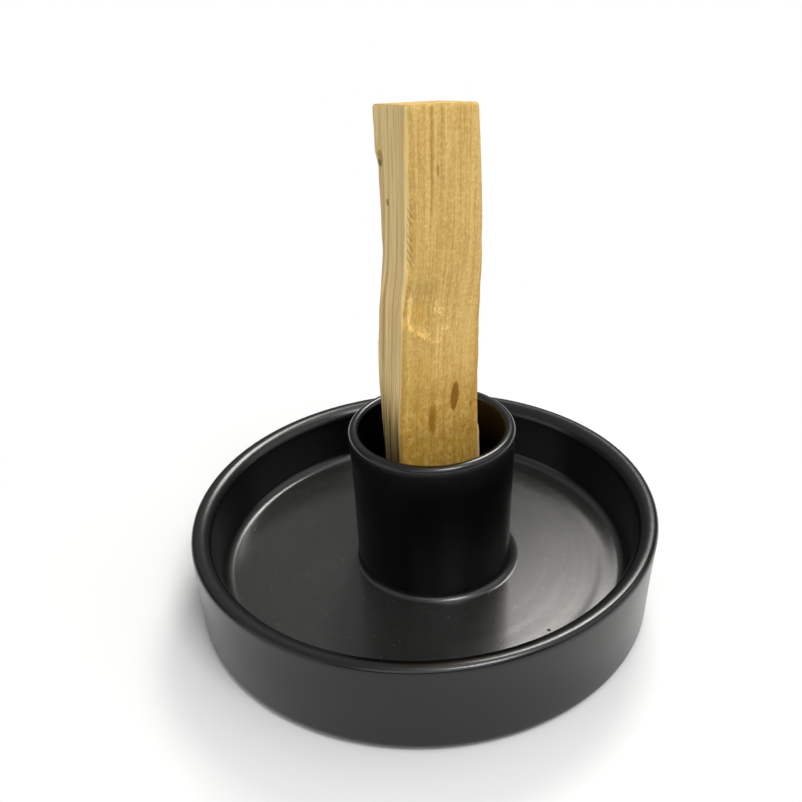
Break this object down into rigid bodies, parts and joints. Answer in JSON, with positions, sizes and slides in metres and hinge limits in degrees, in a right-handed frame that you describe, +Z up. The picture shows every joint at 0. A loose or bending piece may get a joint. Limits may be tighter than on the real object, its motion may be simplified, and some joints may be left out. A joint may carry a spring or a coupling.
{
  "type": "incense burner",
  "caption": "Round black-glazed stoneware incense burner: a shallow dish catches ash around an open central cup that holds a loose palo santo stick upright.",
  "frame": {"origin": "centre of the dish's foot ring, on the table it stands on", "axes": "+Z up along the dish's axis; -Y is the front, the side the picture looks at; +X is the side that the cup is set towards"},
  "size_m": [0.1, 0.1, 0.1091],
  "materials": {
    "black_glaze": "satin black glaze over stoneware",
    "palo_santo_wood": "raw sawn and split wood"
  },
  "bodies": {
    "burner": {"dish": "black_glaze", "stick_cup": "black_glaze"},
    "stick": {"palo_santo_stick": "palo_santo_wood"}
  },
  "joints": [
    {"name": "stick_lift", "type": "slide", "parent": "burner", "child": "stick", "axis": [0, 0, 1], "range_m": [0, 0.05]}
  ]
}
